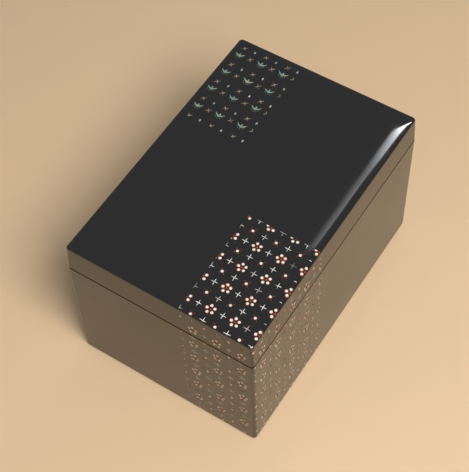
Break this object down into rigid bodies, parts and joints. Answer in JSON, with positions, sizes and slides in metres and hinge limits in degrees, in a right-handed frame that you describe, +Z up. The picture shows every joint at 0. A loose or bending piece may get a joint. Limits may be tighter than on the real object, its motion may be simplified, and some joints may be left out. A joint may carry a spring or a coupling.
{
  "type": "tea utensil box",
  "caption": "Rectangular black-lacquered wooden box for tea utensils, with a flush lift-off lid and a hanging inner tray.",
  "frame": {"origin": "middle of the underside, on the surface the box stands on", "axes": "+X along the length, +Y across the width from the front to the back, +Z up"},
  "size_m": [0.224, 0.1516, 0.1335],
  "materials": {
    "black_lacquer": "black lacquer polished to a mirror over wood",
    "lip_lacquer": "satin black lacquer over wood",
    "tray_lacquer": "satin black lacquer over wood",
    "bamboo_pegs": "bare split bamboo",
    "petal_paint": "raised cream lacquer with vermilion outlines",
    "vermilion_paint": "raised vermilion lacquer",
    "silver_paint": "fine silver-white painted strokes",
    "gold_paint": "fine dull gold painted strokes",
    "shell_inlay": "green shell inlay, polished"
  },
  "bodies": {
    "box": {"front_board": "black_lacquer", "back_board": "black_lacquer", "left_end_board": "black_lacquer", "right_end_board": "black_lacquer", "base_board": "black_lacquer", "front_lip": "lip_lacquer", "back_lip": "lip_lacquer", "left_lip": "lip_lacquer", "right_lip": "lip_lacquer", "box_corner_pegs": "bamboo_pegs", "box_base_pegs": "bamboo_pegs"},
    "lid": {"lid_top_board": "black_lacquer", "lid_front_rim": "black_lacquer", "lid_back_rim": "black_lacquer", "lid_left_rim": "black_lacquer", "lid_right_rim": "black_lacquer", "lid_corner_pegs": "bamboo_pegs", "lid_top_pegs": "bamboo_pegs"},
    "tray": {"tray_floor": "tray_lacquer", "tray_front_side": "tray_lacquer", "tray_back_side": "tray_lacquer", "tray_left_side": "tray_lacquer", "tray_right_side": "tray_lacquer", "tray_front_ledge": "tray_lacquer", "tray_back_ledge": "tray_lacquer", "tray_left_ledge": "tray_lacquer", "tray_right_ledge": "tray_lacquer", "tray_corner_pegs": "bamboo_pegs", "tray_floor_pegs": "bamboo_pegs"}
  },
  "joints": [
    {"name": "lid_lift", "type": "slide", "parent": "box", "child": "lid", "axis": [0, 0, 1], "range_m": [0, 0.16]},
    {"name": "tray_lift", "type": "slide", "parent": "box", "child": "tray", "axis": [0, 0, 1], "range_m": [0, 0.08]}
  ],
  "couplings": [
    {"joint": "tray_lift", "follows": "lid_lift", "ratio": 0.5}
  ]
}
